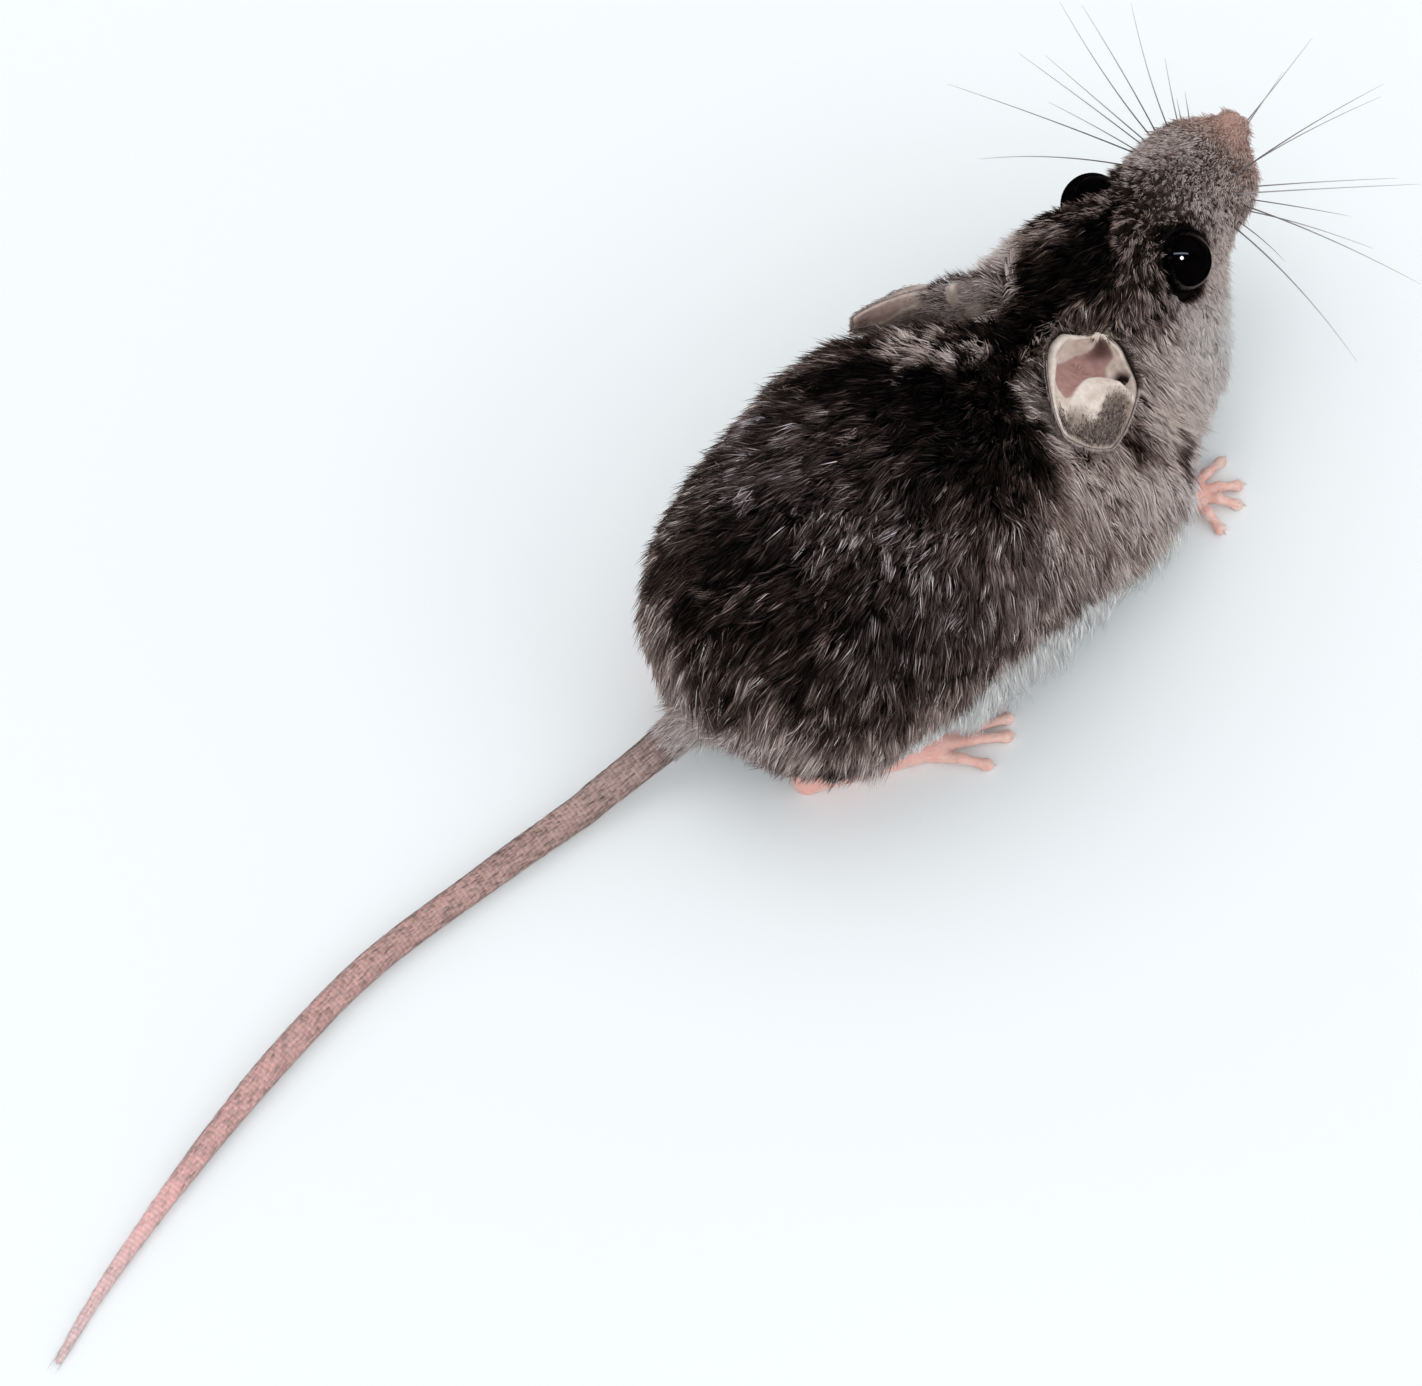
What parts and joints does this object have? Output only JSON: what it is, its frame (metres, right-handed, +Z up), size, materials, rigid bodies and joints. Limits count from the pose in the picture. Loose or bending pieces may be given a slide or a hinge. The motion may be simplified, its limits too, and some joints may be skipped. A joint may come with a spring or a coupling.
{
  "type": "model of a young white-footed mouse",
  "caption": "Life-size model of a live grey mouse crouched on a floor, ears laid back, tail laid out behind in an open bend.",
  "frame": {"origin": "on the floor, under the middle of the whole animal's box", "axes": "+Z up; the mouse faces -Y with its tail towards +Y; +X is the animal's own left side"},
  "size_m": [0.0352, 0.1412, 0.0284],
  "materials": {
    "fur": "short soft grey agouti coat over white underfur, matt",
    "ear": "thin finely haired skin, grey-brown outside, mauve-pink inside",
    "foot": "bare pink skin with fine white hairs",
    "tail": "finely ringed, sparsely haired skin, grey-brown above and cream below",
    "eye": "wet glossy black"
  },
  "bodies": {
    "root": {"head": "fur", "neck": "fur", "trunk": "fur", "hindleg_right": "fur", "hindleg_left": "fur", "foreleg_right": "fur", "foreleg_left": "fur", "hindfoot_right": "foot", "hindfoot_left": "foot", "forefoot_right": "foot", "forefoot_left": "foot", "tail_1": "tail", "tail_2": "tail", "tail_3": "tail", "tail_4": "tail", "ear_right": "ear", "ear_left": "ear", "eye_right": "eye", "eye_left": "eye"}
  },
  "joints": []
}
